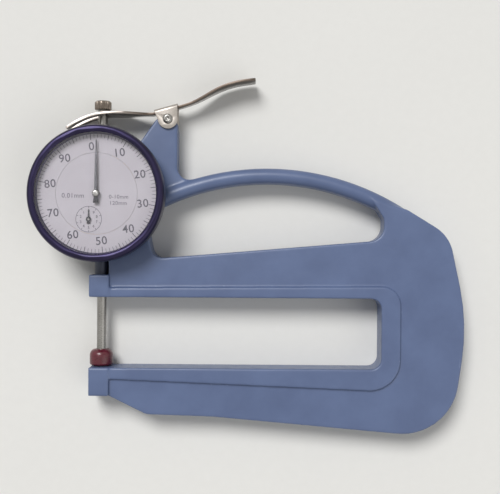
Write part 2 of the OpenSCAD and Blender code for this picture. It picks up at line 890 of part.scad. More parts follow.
module strip_plan_2d() {
    // Outline of the strip laid flat, with x along the lever and y across it
    waist = saddle_gap - 2 * (saddle_bend - saddle_t) - seat_gap;
    slot = spindle_d + 0.9;
    slot_end = spindle_r + 1.4;
    front = -16;
    rear = pivot_x + 40;
    difference() {
        polygon(rounded([
            [front, -fork_w / 2, 2],
            [pivot_x - fork_taper, -fork_w / 2, 5],
            [pivot_x - 9.3, -waist / 2, 5],
            [pivot_x + 10, -waist / 2, 8],
            [pivot_x + 22, -thumb_w / 2, 10],
            [rear, -thumb_w / 2, 5],
            [rear, thumb_w / 2, 5],
            [pivot_x + 22, thumb_w / 2, 10],
            [pivot_x + 10, waist / 2, 8],
            [pivot_x - 9.3, waist / 2, 5],
            [pivot_x - fork_taper, fork_w / 2, 5],
            [front, fork_w / 2, 2]
        ]));
        translate([front - 1, -slot / 2]) square([slot_end - slot / 2 - front + 1, slot]);
        circle_at([slot_end - slot / 2, 0], slot / 2);
    }
}

module lever_strip() {
    color("silver") intersection() {
        linear_extrude(2 * frame_t) strip_line_2d();
        translate([0, 3 * pivot_y, spindle_z]) rotate([90, 0, 0])
            linear_extrude(4 * pivot_y) strip_plan_2d();
    }
}

module saddle_cheek_2d() {
    // Round below the pivot, slanted in front and upright behind
    rear_x = pivot_x + saddle_rear;
    roof_y = pivot_y + saddle_roof / cos(saddle_deg) + saddle_rear * tan(saddle_deg);
    circle_at(pivot, cheek_r);
    polygon([
        on_saddle(-saddle_front, saddle_roof),
        on_saddle(0.3 - cheek_r, -1.2),
        pivot,
        [rear_x, pivot_y - 0.8],
        [rear_x, roof_y]
    ]);
}

module saddle_section_2d() {
    // Channel section: x is the height above the pivot, y runs across the lever
    half = saddle_w / 2;
    polygon(rounded([
        [-2 * cheek_r, half],
        [-2 * cheek_r, half - saddle_t],
        [saddle_roof - saddle_t, half - saddle_t, saddle_bend - saddle_t],
        [saddle_roof - saddle_t, saddle_t - half, saddle_bend - saddle_t],
        [-2 * cheek_r, saddle_t - half],
        [-2 * cheek_r, -half],
        [saddle_roof, -half, saddle_bend],
        [saddle_roof, half, saddle_bend]
    ]));
}

module lever_saddle() {
    color("silver") difference() {
        intersection() {
            linear_extrude(2 * frame_t) saddle_cheek_2d();
            translate([pivot_x, pivot_y, spindle_z]) rotate([0, 0, saddle_deg]) rotate([90, 0, 90])
                translate([0, 0, -4 * cheek_r]) linear_extrude(8 * cheek_r) saddle_section_2d();
        }
        rod_z(pivot_d / 2 + running_gap, -1, 2 * frame_t, pivot);
    }
}

// Gears: teeth with involute flanks, thinned for backlash

tooth_backlash = 0.05;

function involute_deg(r, base_r) =
    r <= base_r ? 0 : let (roll = sqrt(pow(r / base_r, 2) - 1)) roll * 180 / PI - atan(roll);

function half_tooth_deg(r, pitch_r, base_r, teeth) =
    90 / teeth - tooth_backlash / 2 / pitch_r * 180 / PI
        + involute_deg(pitch_r, base_r) - involute_deg(r, base_r);

function gear_outline(teeth, module_size, add, ded) =
    let (
        pitch_r = teeth * module_size / 2,
        base_r = pitch_r * cos(20),
        root_r = pitch_r - ded,
        tip_r = pitch_r + add,
        radii = [root_r, max(root_r + eps, base_r), pitch_r, tip_r],
        half = [for (r = radii) half_tooth_deg(r, pitch_r, base_r, teeth)]
    )
    flat([for (tooth = [0:teeth - 1])
        let (mid = 360 * tooth / teeth)
        concat(
            [for (i = [0:3]) radii[i] * [cos(mid - half[i]), sin(mid - half[i])]],
            [for (i = [3:-1:0]) radii[i] * [cos(mid + half[i]), sin(mid + half[i])]]
        )
    ]);

gear_add = 0.8 * gear_module;
gear_ded = 1.25 * gear_module;

// The counter gear has a tooth on the line to the centre pinion, and the pinion has a gap there.
// The take-up gear's gap then meets whichever pinion tooth is nearest to its own line.
counter_gear_deg = counter_mesh_deg + 180;
centre_pinion_deg = counter_mesh_deg + 180 / centre_teeth;
take_up_gear_deg = take_up_deg + 180 - (centre_pinion_deg - take_up_deg) * centre_teeth / gear_teeth
    + 180 / gear_teeth;

module wheel(at, z, deg) {
    // Toothed rim on five spokes
    rim_r = gear_module * gear_teeth / 2 - gear_ded - 1.2;
    translate([at.x, at.y, z]) rotate(deg) linear_extrude(gear_t) difference() {
        polygon(gear_outline(gear_teeth, gear_module, gear_add, gear_ded));
        circle(r = arbor_r + press_gap);
        for (i = [0:4])
            rotate(72 * i + 36) spoke_gap_2d(2, rim_r);
    }
}

module spoke_gap_2d(inner_r, outer_r) {
    half = 29;
    polygon(rounded([
        [inner_r, -0.3, 0.25],
        [outer_r * cos(half), -outer_r * sin(half), 0.8],
        [outer_r * cos(half / 2), -outer_r * sin(half / 2), 2],
        [outer_r, 0, 2],
        [outer_r * cos(half / 2), outer_r * sin(half / 2), 2],
        [outer_r * cos(half), outer_r * sin(half), 0.8],
        [inner_r, 0.3, 0.25]
    ]));
}

module counter_arbor() {
    color("silver") {
        rod_z(pivot_r, head_t + 0.3, floor_z + 0.2, counter_arbor);
        rod_z(arbor_r, floor_z + 0.1, bridge_z - 0.1, counter_arbor);
        rod_z(pivot_r, bridge_z - 0.2, counter_pointer_z + 0.3, counter_arbor);
    }
}

module rack_pinion() {
    rack_module = rack_pitch / PI;
    color("silver") translate([counter_arbor.x, counter_arbor.y, spindle_z - pinion_face / 2])
        linear_extrude(pinion_face) difference() {
            polygon(gear_outline(rack_pinion_teeth, rack_module, rack_tooth_h, 0.24));
            circle(r = arbor_r + press_gap);
        }
}

module counter_gear() {
    color("goldenrod") wheel(counter_arbor, counter_gear_z, counter_gear_deg);
}

module centre_arbor() {
    color("silver") {
        rod_z(pivot_r, middle_plate_z, middle_plate_z + plate_t + 0.2, [0, 0]);
        rod_z(arbor_r, middle_plate_z + plate_t + 0.1, bridge_z - 0.1, [0, 0]);
        rod_z(pivot_r, bridge_z - 0.2, pointer_z + 0.9, [0, 0]);
        translate([0, 0, counter_gear_z - 0.2]) rotate(centre_pinion_deg)
            linear_extrude(take_up_gear_z + gear_t + 0.2 - counter_gear_z + 0.2)
                polygon(gear_outline(centre_teeth, gear_module, gear_add, gear_ded));
    }
}

module take_up_arbor() {
    color("silver") {
        rod_z(pivot_r, head_t + 0.3, floor_z + 0.2, take_up_arbor);
        rod_z(arbor_r, floor_z + 0.1, bridge_z - 0.1, take_up_arbor);
        rod_z(pivot_r, bridge_z - 0.2, bridge_z + plate_t, take_up_arbor);
    }
}

module take_up_gear() {
    color("goldenrod") wheel(take_up_arbor, take_up_gear_z, take_up_gear_deg);
}

module hairspring_collet() {
    low_z = hairspring_z - 0.3;
    high_z = hairspring_z + hairspring_h + 0.3;
    color("goldenrod") difference() {
        rod_z(hairspring_in_r - press_gap, low_z, high_z, take_up_arbor);
        rod_z(arbor_r + press_gap, low_z - 1, high_z + 1, take_up_arbor);
    }
}

// Dial, pointers and bezel

dial_ring_r = case_r - 0.9;

module dial_plate() {
    foot_r = 0.7;
    color("#d2cfd6") {
        translate([0, 0, dial_z]) linear_extrude(dial_t) difference() {
            circle(r = ring_inner_r - 0.1);
            circle(r = arbor_r + 0.5);
            circle_at(counter_arbor, arbor_r + 0.4);
        }
        for (at = [[9, 8], [-12, -7]])
            rod_z(foot_r, bridge_z + plate_t, dial_z + eps, at);
    }
}

module dial_ring() {
    color("#d2cfd6") translate([0, 0, dial_z]) linear_extrude(dial_t) difference() {
        circle(r = dial_ring_r);
        circle(r = ring_inner_r);
    }
}

module needle_2d(length, hub_r, root_w, tip_w, tail) {
    circle(r = hub_r);
    polygon([
        [-root_w / 2, 0],
        [root_w / 2, 0],
        [tip_w / 2, length - 1.2],
        [0, length],
        [-tip_w / 2, length - 1.2]
    ]);
    polygon([
        [-root_w / 2, 0],
        [-0.8 * root_w, -tail],
        [0.8 * root_w, -tail],
        [root_w / 2, 0]
    ]);
}

module pointer() {
    color("#1b1b20") translate([0, 0, pointer_z]) linear_extrude(0.35) difference() {
        needle_2d(pointer_len, 1.6, 1.5, 0.5, pointer_tail);
        circle(r = 1 + press_gap);
    }
}

module pointer_hub() {
    color("silver") difference() {
        translate([0, 0, pointer_z - 0.5]) rotate_extrude() polygon([
            [0, 0],
            [1, 0],
            [1, 0.95],
            [1.5, 0.95],
            [1.5, 1.3],
            [1.1, 1.7],
            [0, 1.7]
        ]);
        rod_z(pivot_r + press_gap, pointer_z - 1, pointer_z + 0.95);
    }
}

module counter_pointer() {
    color("#1b1b20") translate([counter_arbor.x, counter_arbor.y, counter_pointer_z])
        linear_extrude(0.3) difference() {
            needle_2d(counter_pointer_len, 1.1, 0.9, 0.35, counter_pointer_tail);
            circle(r = pivot_r + press_gap);
        }
}

module bezel() {
    bezel_r = bezel_d / 2;
    window_r = window_d / 2;
    crystal_r = window_r + crystal_ledge;
    bore_r = neck_r + 0.05;
    ring_gap = ring_wire_r + 0.15;
    crystal_top_z = crystal_z + crystal_t;
    color("#2f2a45") difference() {
        rotate_extrude() polygon(concat(
            [
                [bore_r, bezel_low_z],
                [bezel_r - 0.8, bezel_low_z],
                [bezel_r, bezel_low_z + 0.8],
                [bezel_r, bezel_top_z - bezel_crown_h]
            ],
            [for (a = [15:15:75])
                [bezel_r - bezel_crown_w * (1 - cos(a)), bezel_top_z - bezel_crown_h * (1 - sin(a))]],
            [
                [bezel_r - bezel_crown_w, bezel_top_z],
                [window_r + bezel_lip_w, bezel_top_z],
                [window_r, bezel_top_z - 0.5],
                [window_r, crystal_top_z],
                [crystal_r, crystal_top_z],
                [crystal_r, crystal_z],
                [window_r, crystal_z],
                [window_r, dial_top_z + 0.3],
                [dial_ring_r - 0.4, dial_top_z],
                [dial_ring_r + press_gap, dial_top_z],
                [dial_ring_r + press_gap, dial_z],
                [bore_r, dial_z]
            ]
        ));
        translate([0, 0, ring_z]) rotate_extrude() translate([neck_r, 0]) circle(r = ring_gap);
    }
}

module crystal() {
    crystal_r = window_d / 2 + crystal_ledge - press_gap;
    color([0.9, 0.95, 1, 0.35]) rod_z(crystal_r, crystal_z + press_gap, crystal_z + crystal_t - press_gap);
}

frame();
lower_stem();
upper_stem();
anvil();
lever_pin();
dial_case();
case_screws();
lower_pillars();
middle_plate();
upper_pillars();
bridge_plate();
bridge_screws();
floor_bushes();
plate_bush();
bridge_bushes();
dial_plate();
bezel_retaining_ring();
guide_bracket();
guide_rod();
spring_post();
return_spring();
hairspring();
hairspring_stud();
spindle();
contact_tip();
contact_face();
lift_cap();
guide_arm();
lever_strip();
lever_saddle();
counter_arbor();
rack_pinion();
counter_gear();
counter_pointer();
centre_arbor();
pointer();
pointer_hub();
take_up_arbor();
take_up_gear();
hairspring_collet();
bezel();
crystal();
dial_ring();
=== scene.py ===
"""Dial thickness gauge: cast frame, dial, lifting lever and spindle with their finishes."""
import json
import logging
import math
from dataclasses import dataclass, field
from enum import Enum

import bmesh
import bpy
import numpy as np
from mathutils import Matrix, Vector

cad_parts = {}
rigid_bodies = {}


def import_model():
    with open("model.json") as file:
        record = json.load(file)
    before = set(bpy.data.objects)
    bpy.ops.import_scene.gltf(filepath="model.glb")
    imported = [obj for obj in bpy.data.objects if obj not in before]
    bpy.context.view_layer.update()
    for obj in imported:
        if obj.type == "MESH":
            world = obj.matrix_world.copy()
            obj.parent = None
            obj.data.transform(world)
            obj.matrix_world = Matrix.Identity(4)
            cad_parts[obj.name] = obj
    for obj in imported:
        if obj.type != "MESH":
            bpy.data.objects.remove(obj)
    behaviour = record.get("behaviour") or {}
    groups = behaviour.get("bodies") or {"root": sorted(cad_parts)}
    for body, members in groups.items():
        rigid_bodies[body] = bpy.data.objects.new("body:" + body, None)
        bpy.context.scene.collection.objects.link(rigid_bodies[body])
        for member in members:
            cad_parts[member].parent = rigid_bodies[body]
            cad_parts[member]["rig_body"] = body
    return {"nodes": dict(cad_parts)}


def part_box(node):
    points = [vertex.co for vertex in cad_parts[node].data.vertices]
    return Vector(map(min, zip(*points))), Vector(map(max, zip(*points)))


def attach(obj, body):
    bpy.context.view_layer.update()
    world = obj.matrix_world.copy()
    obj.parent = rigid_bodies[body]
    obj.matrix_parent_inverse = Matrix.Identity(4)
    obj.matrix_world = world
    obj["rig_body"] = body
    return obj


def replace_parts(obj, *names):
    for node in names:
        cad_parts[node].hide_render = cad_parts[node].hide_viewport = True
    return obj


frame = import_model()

LOG = logging.getLogger("gauge")
MM = 0.001
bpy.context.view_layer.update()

Colour = tuple[float, float, float, float]
Place = tuple[float, float, float]
Point = tuple[float, float]
Span = tuple[float, float]
Form = bmesh.types.BMesh
Material = bpy.types.Material
Socket = bpy.types.NodeSocket

FULL: Span = (0.0, 1.0)


def screen(red: int, green: int, blue: int) -> Colour:
    """Gives the linear colour of an 8-bit screen colour, by the curve that screens use.

    Args:
        red: Red, 0 to 255.
        green: Green, 0 to 255.
        blue: Blue, 0 to 255.

    Returns:
        Linear red, green and blue, with full alpha.
    """
    parts = [c / 255 for c in (red, green, blue)]
    lin = [c / 12.92 if c <= 0.04045 else ((c + 0.055) / 1.055) ** 2.4 for c in parts]
    return (lin[0], lin[1], lin[2], 1.0)


class Grain(Enum):
    """Direction of the fine marks that a surface was finished with, as a squeeze along each axis."""

    MOTTLED = (1.0, 1.0, 1.0)
    ALONG_X = (0.04, 1.0, 1.0)
    ROUND_SPINDLE = (0.06, 1.0, 0.06)
    ROUND_DIAL = (0.0, 0.0, 0.0)


class Detail(Enum):
    """How many levels of finer noise lie on top of the main one."""

    PLAIN = 2.0
    FINE = 3.0
    FINER = 4.0
    FINEST = 5.0


class Graph:
    """Node graph of one finish, with its surface shader joined to the output."""

    # A Mix node shares its socket names among kinds of value, so its colours go by number.
    MIX_SHARE, MIX_FIRST, MIX_SECOND, MIX_RESULT = 0, 6, 7, 2
    # Nearly all of a noise lies in this span.
    NOISE_SPAN: Span = (0.3, 0.7)
    NOISE_ROUGH = 0.55

    def __init__(self, name: str) -> None:
        """Starts a material.

        Args:
            name: Name of the material.
        """
        self.material = bpy.data.materials.new(name)
        self.material.use_nodes = True
        self.nodes = self.material.node_tree.nodes
        self.links = self.material.node_tree.links
        self.surface = self.nodes["Principled BSDF"]
        self.output = self.nodes["Material Output"]

    def add(self, kind: str, **values: object) -> bpy.types.Node:
        """Adds a node.

        Args:
            kind: Node type.
            values: Input values by socket name, with _ for a space.

        Returns:
            The node.
        """
        node = self.nodes.new(kind)
        for name, value in values.items():
            node.inputs[name.replace("_", " ")].default_value = value
        return node

    def join(self, out: Socket, into: Socket) -> None:
        """Links one socket to another."""
        self.links.new(out, into)

    def drive(self, name: str, out: Socket) -> None:
        """Links a socket to the surface's input of that name."""
        self.join(out, self.surface.inputs[name])

    def fix(self, **values: object) -> None:
        """Sets inputs of the surface that are the same all over, by name with _ for a space."""
        for name, value in values.items():
            self.surface.inputs[name.replace("_", " ")].default_value = value

    def combine(self, operation: str, first: Socket, second: Socket | float = 0.0) -> Socket:
        """Works out a value from one or two others.

        Args:
            operation: What is done, in the Math node's spelling.
            first: First value.
            second: Second value, as a socket or a number.

        Returns:
            A value socket.
        """
        node = self.add("ShaderNodeMath")
        node.operation = operation
        self.join(first, node.inputs[0])
        if isinstance(second, float):
            node.inputs[1].default_value = second
        else:
            self.join(second, node.inputs[1])
        return node.outputs["Value"]

    def mix(self, share: Socket, first: Socket, second: Socket | Colour) -> Socket:
        """Blends two colours.

        Args:
            share: Share of the second colour.
            first: First colour.
            second: Second colour, as a socket or a plain colour.

        Returns:
            A colour socket.
        """
        node = self.add("ShaderNodeMix")
        node.data_type = "RGBA"
        self.join(share, node.inputs[self.MIX_SHARE])
        self.join(first, node.inputs[self.MIX_FIRST])
        if isinstance(second, tuple):
            node.inputs[self.MIX_SECOND].default_value = second
        else:
            self.join(second, node.inputs[self.MIX_SECOND])
        return node.outputs[self.MIX_RESULT]

    def axis(self, vector: Socket, name: str) -> Socket:
        """Gives one coordinate of a vector.

        Args:
            vector: Vector socket.
            name: X, Y or Z.

        Returns:
            A value socket.
        """
        node = self.add("ShaderNodeSeparateXYZ")
        self.join(vector, node.inputs["Vector"])
        return node.outputs[name]

    def where(self) -> Socket:
        """Gives the place on the object, in metres."""
        return self.add("ShaderNodeTexCoord").outputs["Object"]

    def shape(self, name: str) -> Socket:
        """Gives what the surface's own shape says there, such as its normal."""
        return self.add("ShaderNodeNewGeometry").outputs[name]

    def place(self, grain: Grain) -> Socket:
        """Gives the texture position for a grain.

        Args:
            grain: Direction of the marks.

        Returns:
            A vector socket in metres, squeezed along the marks.
        """
        if grain is Grain.ROUND_DIAL:
            flat = self.add("ShaderNodeVectorMath")
            flat.operation = "MULTIPLY"
            flat.inputs[1].default_value = (1.0, 1.0, 0.0)
            self.join(self.where(), flat.inputs[0])
            reach = self.add("ShaderNodeVectorMath")
            reach.operation = "LENGTH"
            self.join(flat.outputs["Vector"], reach.inputs[0])
            line = self.add("ShaderNodeCombineXYZ")
            self.join(reach.outputs["Value"], line.inputs["X"])
            return line.outputs["Vector"]
        squeeze = self.add("ShaderNodeMapping", Scale=grain.value)
        self.join(self.where(), squeeze.inputs["Vector"])
        return squeeze.outputs["Vector"]

    def noise(self, grain: Grain, size_mm: float, detail: Detail) -> Socket:
        """Adds noise whose features are about as large as asked.

        Args:
            grain: Direction of the marks.
            size_mm: Size of one feature.
            detail: Levels of finer noise on top.

        Returns:
            A factor socket, 0 to 1.
        """
        node = self.add("ShaderNodeTexNoise", Scale=1 / (size_mm * MM), Detail=detail.value,
                        Roughness=self.NOISE_ROUGH)
        self.join(self.place(grain), node.inputs["Vector"])
        return node.outputs["Fac"]

    def ramp(self, factor: Socket, span: Span, first: Colour, last: Colour) -> Socket:
        """Turns a factor into a colour between two.

        Args:
            factor: What drives the ramp.
            span: Factors at the two colours.
            first: Colour at the start of the span.
            last: Colour at its end.

        Returns:
            A colour socket.
        """
        node = self.add("ShaderNodeValToRGB")
        for element, at, colour in zip(node.color_ramp.elements, span, (first, last)):
            element.position = at
            element.color = colour
        self.join(factor, node.inputs["Fac"])
        return node.outputs["Color"]

    def remap(self, value: Socket, old: Span, new: Span) -> Socket:
        """Carries a value from one span to another, and holds it there.

        Args:
            value: Value socket.
            old: Span that it comes from.
            new: Span that it goes to.

        Returns:
            A value socket.
        """
        node = self.add("ShaderNodeMapRange", From_Min=old[0], From_Max=old[1], To_Min=new[0], To_Max=new[1])
        self.join(value, node.inputs["Value"])
        return node.outputs["Result"]

    def spread(self, noise: Socket, new: Span) -> Socket:
        """Spreads a noise over a span of values."""
        return self.remap(noise, self.NOISE_SPAN, new)

    def bump(self, height: Socket, depth_mm: float, strength: float) -> None:
        """Joins a bump to the surface's normal.

        Args:
            height: Height socket, 0 to 1.
            depth_mm: Depth of the relief.
            strength: How much of it shows.
        """
        node = self.add("ShaderNodeBump", Strength=strength, Distance=depth_mm * MM)
        self.join(height, node.inputs["Height"])
        self.drive("Normal", node.outputs["Normal"])


@dataclass(frozen=True)
class Finish:
    """A finish whose colour, gloss and relief follow its fine marks."""

    name: str
    dark: Colour
    light: Colour
    gloss: Span
    metal: float = 0.0
    grain: Grain = Grain.MOTTLED
    grain_mm: float = 0.6
    patch_mm: float = 12.0
    relief_mm: float = 0.01
    relief: float = 0.2
    coat: float = 0.0
    coat_rough: float = 0.12
    marks_share: float = 0.45
    colour_span: Span = (0.32, 0.68)

    def material(self) -> Material:
        """Builds the finish's material.

        Returns:
            The material.
        """
        graph = Graph(self.name)
        marks = graph.noise(self.grain, self.grain_mm, Detail.FINE)
        patches = graph.noise(Grain.MOTTLED, self.patch_mm, Detail.PLAIN)
        both = graph.combine("ADD", graph.combine("MULTIPLY", marks, self.marks_share),
                             graph.combine("MULTIPLY", patches, 1.0 - self.marks_share))
        graph.drive("Base Color", graph.ramp(both, self.colour_span, self.dark, self.light))
        graph.drive("Roughness", graph.spread(marks, self.gloss))
        graph.fix(Metallic=self.metal, Coat_Weight=self.coat, Coat_Roughness=self.coat_rough)
        graph.bump(marks, self.relief_mm, self.relief)
        return graph.material


@dataclass(frozen=True)
class CastingPaint:
    """Satin blue enamel on a sand casting: orange peel, faint clouds, and a painted highlight that makes the
    convex edges paler in patches.
    """

    name: str = "blue_enamel"
    deep: Colour = screen(80, 95, 130)
    pale: Colour = screen(91, 107, 143)
    # Paler colour that the painted edge highlight brings in.
    edge: Colour = screen(130, 145, 177)
    cloud_mm: float = 16.0
    cloud_span: Span = (0.28, 0.72)
    worn_from: Span = (0.515, 0.6)
    worn_most: float = 0.3
    rub_mm: float = 5.0
    rub: Span = (0.35, 1.0)
    gloss_mm: float = 3.0
    gloss: Span = (0.36, 0.46)
    coat: float = 0.15
    coat_rough: float = 0.25
    peel_mm: float = 0.9
    peel_depth_mm: float = 0.05
    peel: float = 0.25

    def material(self) -> Material:
        """Builds the enamel's material.

        Returns:
            The material.
        """
        graph = Graph(self.name)
        drift = graph.noise(Grain.MOTTLED, self.cloud_mm, Detail.FINEST)
        clouds = graph.ramp(drift, self.cloud_span, self.deep, self.pale)
        # Painted highlight: convex edges, found by pointiness, turn paler, broken into patches by noise.
        edge_highlight_share = graph.remap(graph.shape("Pointiness"), self.worn_from, (0.0, self.worn_most))
        highlight_patches = graph.spread(graph.noise(Grain.MOTTLED, self.rub_mm, Detail.FINER), self.rub)
        graph.drive("Base Color", graph.mix(graph.combine("MULTIPLY", edge_highlight_share, highlight_patches), clouds, self.edge))
        sheen = graph.noise(Grain.MOTTLED, self.gloss_mm, Detail.FINE)
        graph.drive("Roughness", graph.spread(sheen, self.gloss))
        graph.fix(Coat_Weight=self.coat, Coat_Roughness=self.coat_rough)
        graph.bump(graph.noise(Grain.MOTTLED, self.peel_mm, Detail.PLAIN), self.peel_depth_mm, self.peel)
        return graph.material


@dataclass(frozen=True)
class SheetPlating:
    """Plating on a bent strip: its faces are painted dark brown as a painted reflection of shade, and its
    edges carry a painted highlight that is bright at the fork and fades towards the thumb.
    """

    name: str = "plated_strip"
    # The dark brown of the faces is a painted reflection of shade, not the plating's own colour.
    dull: Colour = screen(84, 75, 67)
    clean: Colour = screen(94, 85, 77)
    # Edge colours of the painted highlight: dark at the thumb, bright at the fork.
    thumb_edge: Colour = screen(95, 85, 78)
    fork_edge: Colour = screen(180, 172, 166)
    marks_mm: float = 0.5
    marks_span: Span = (0.3, 0.7)
    edge_tilt: Span = (0.25, 0.6)
    worn_x_mm: Span = (-2.0, 18.0)
    gloss: Span = (0.18, 0.42)
    scratch_mm: float = 0.2
    scratch_depth_mm: float = 0.002
    scratch: float = 0.08

    def material(self) -> Material:
        """Builds the plating's material, in which an edge is known by how far it faces up or down.

        Returns:
            The material.
        """
        graph = Graph(self.name)
        rolled = graph.noise(Grain.ALONG_X, self.marks_mm, Detail.PLAIN)
        faces = graph.ramp(rolled, self.marks_span, self.dull, self.clean)
        # Painted highlight on the edges: bright near the fork, fading to dark towards the thumb.
        highlight_fade_x = (self.worn_x_mm[0] * MM, self.worn_x_mm[1] * MM)
        along = graph.remap(graph.axis(graph.where(), "X"), highlight_fade_x, FULL)
        strip_edge_highlight = graph.ramp(along, FULL, self.fork_edge, self.thumb_edge)
        tilt = graph.combine("ABSOLUTE", graph.axis(graph.shape("Normal"), "Z"))
        graph.drive("Base Color", graph.mix(graph.remap(tilt, self.edge_tilt, FULL), faces, strip_edge_highlight))
        graph.drive("Roughness", graph.remap(tilt, self.edge_tilt, self.gloss))
        graph.fix(Metallic=1.0)
        scratches = graph.noise(Grain.ALONG_X, self.scratch_mm, Detail.FINE)
        graph.bump(scratches, self.scratch_depth_mm, self.scratch)
        return graph.material


@dataclass(frozen=True)
class ClearCrystal:
    """Clear acrylic window, which lets light through to the dial."""

    name: str = "clear_crystal"
    tint: Colour = screen(250, 250, 252)
    bending: float = 1.49
    smear_mm: float = 9.0
    smear: Span = (0.005, 0.03)

    def material(self) -> Material:
        """Builds the window's material.

        Returns:
            The material.
        """
        graph = Graph(self.name)
        graph.fix(Base_Color=self.tint, Transmission_Weight=1.0, IOR=self.bending)
        smears = graph.noise(Grain.MOTTLED, self.smear_mm, Detail.FINE)
        graph.drive("Roughness", graph.spread(smears, self.smear))
        through = graph.add("ShaderNodeBsdfTransparent")
        ray = graph.add("ShaderNodeLightPath")
        lit = graph.combine("MAXIMUM", ray.outputs["Is Shadow Ray"], ray.outputs["Is Diffuse Ray"])
        choose = graph.add("ShaderNodeMixShader")
        graph.join(lit, choose.inputs[0])
        graph.join(graph.surface.outputs["BSDF"], choose.inputs[1])
        graph.join(through.outputs["BSDF"], choose.inputs[2])
        graph.join(choose.outputs["Shader"], graph.output.inputs["Surface"])
        return graph.material


class Shop:
    """Every finish of the gauge, made once."""

    def __init__(self) -> None:
        """Makes the materials."""
        steel = dict(dark=screen(132, 130, 127), light=screen(154, 152, 149), metal=1.0)
        ink = dict(gloss=(0.5, 0.65), grain_mm=0.2, patch_mm=3.0, relief_mm=0.003, relief=0.1)
        self.paint = CastingPaint().material()
        self.crystal = ClearCrystal().material()
        self.plated_strip = SheetPlating().material()
        self.ground_steel = Finish(
            "ground_steel", gloss=(0.24, 0.32), grain=Grain.ROUND_SPINDLE, grain_mm=0.07,
            relief_mm=0.0015, relief=0.1, **steel).material()
        self.plain_steel = Finish("plain_steel", gloss=(0.26, 0.38), grain_mm=0.25, **steel).material()
        # Dark finish that stands for shade rather than a bluing: it is given to the lower stem, which lies in
        # the bezel's shadow.
        self.blued_steel = Finish(
            "blued_steel", screen(56, 60, 72), screen(70, 74, 88), (0.36, 0.46), metal=0.6,
            grain=Grain.ROUND_SPINDLE, grain_mm=0.1, relief_mm=0.002, relief=0.1).material()
        self.plated_saddle = Finish(
            "plated_saddle", screen(156, 149, 143), screen(176, 170, 164), (0.34, 0.44), metal=1.0,
            grain_mm=0.5, relief_mm=0.006).material()
        self.anodised = Finish(
            "violet_anodising", screen(33, 29, 52), screen(45, 39, 70), (0.28, 0.4), metal=0.85,
            grain=Grain.ROUND_DIAL, grain_mm=0.09, relief_mm=0.003, coat=0.1).material()
        self.case = Finish(
            "dark_case", screen(42, 40, 54), screen(56, 53, 70), (0.35, 0.5), metal=0.5,
            grain_mm=0.5).material()
        self.dial = Finish(
            "dial_silver", screen(180, 174, 181), screen(188, 183, 190), (0.46, 0.58),
            grain_mm=0.18, patch_mm=9.0, relief_mm=0.006, relief=0.15).material()
        self.print = Finish("dial_print", screen(62, 58, 70), screen(88, 83, 96), **ink).material()
        self.faint_print = Finish("faint_print", screen(98, 93, 104), screen(118, 113, 124), **ink).material()
        self.lacquer = Finish(
            "pointer_lacquer", screen(34, 33, 40), screen(52, 50, 60), (0.3, 0.42), metal=0.2,
            grain_mm=0.3, relief_mm=0.004).material()
        self.red = Finish(
            "red_moulding", screen(74, 14, 28), screen(98, 26, 42), (0.24, 0.34),
            grain_mm=1.2, patch_mm=4.0, coat=0.2).material()
        self.cap = Finish(
            "cap_nickel", screen(113, 103, 95), screen(140, 130, 121), (0.16, 0.26), metal=1.0,
            grain=Grain.ROUND_SPINDLE, grain_mm=0.2).material()
        self.brass = Finish(
            "rolled_brass", screen(176, 140, 74), screen(206, 170, 98), (0.28, 0.42), metal=1.0,
            grain=Grain.ALONG_X, grain_mm=0.15).material()


class Edges(Enum):
    """How far a machined piece's edges are broken, in millimetres."""

    KEEN = 0.05
    BROKEN = 0.12


def add_piece(name: str, mesh: bpy.types.Mesh, body: str, finish: Material) -> bpy.types.Object:
    """Adds a piece that rides on a body.

    Args:
        name: Name of the piece.
        mesh: Its mesh, in the part's own frame.
        body: Body that carries it.
        finish: Its material.

    Returns:
        The new object.
    """
    piece = bpy.data.objects.new(name, mesh)
    bpy.context.scene.collection.objects.link(piece)
    mesh.materials.clear()
    mesh.materials.append(finish)
    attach(piece, body)
    LOG.info("%s rides on %s with %d faces", name, body, len(mesh.polygons))
    return piece


def scratch_object(name: str, data: bpy.types.ID) -> bpy.types.Object:
    """Puts data into the scene for a while.

    Args:
        name: Name of the object.
        data: Mesh or curve that it holds.

    Returns:
        The object, which baked removes again.
    """
    piece = bpy.data.objects.new(name, data)
    bpy.context.scene.collection.objects.link(piece)
    return piece


def baked(piece: bpy.types.Object) -> bpy.types.Mesh:
    """Gives the mesh that a scratch object comes to, and removes the object.

    Args:
        piece: Scratch object.

    Returns:
        The finished mesh.
    """
    mesh = bpy.data.meshes.new_from_object(piece.evaluated_get(bpy.context.evaluated_depsgraph_get()))
    bpy.data.objects.remove(piece)
    return mesh


def mesh_of(form: Form, name: str) -> bpy.types.Mesh:
    """Turns a form into a mesh and frees the form.

    Args:
        form: Form to turn.
        name: Name of the mesh.

    Returns:
        The mesh.
    """
    mesh = bpy.data.meshes.new(name)
    form.to_mesh(mesh)
    form.free()
    return mesh


def shade(form: Form, crisp_deg: float) -> None:
    """Shades a form smooth, and keeps edges crisp from an angle on.

    Args:
        form: Form to shade.
        crisp_deg: Angle from which an edge is crisp.
    """
    for face in form.faces:
        face.smooth = True
    for edge in form.edges:
        edge.smooth = edge.calc_face_angle(0.0) < math.radians(crisp_deg)


def solid_of(node: str) -> Form:
    """Copies a node's solid as a welded form with whole flat faces.

    Args:
        node: Name of the node.

    Returns:
        The form, which the caller frees.
    """
    weld_m = 2e-6
    flat_deg = 0.3
    form = bmesh.new()
    form.from_mesh(frame["nodes"][node].data)
    bmesh.ops.remove_doubles(form, verts=form.verts, dist=weld_m)
    bmesh.ops.dissolve_limit(form, angle_limit=math.radians(flat_deg), verts=form.verts, edges=form.edges)
    return form


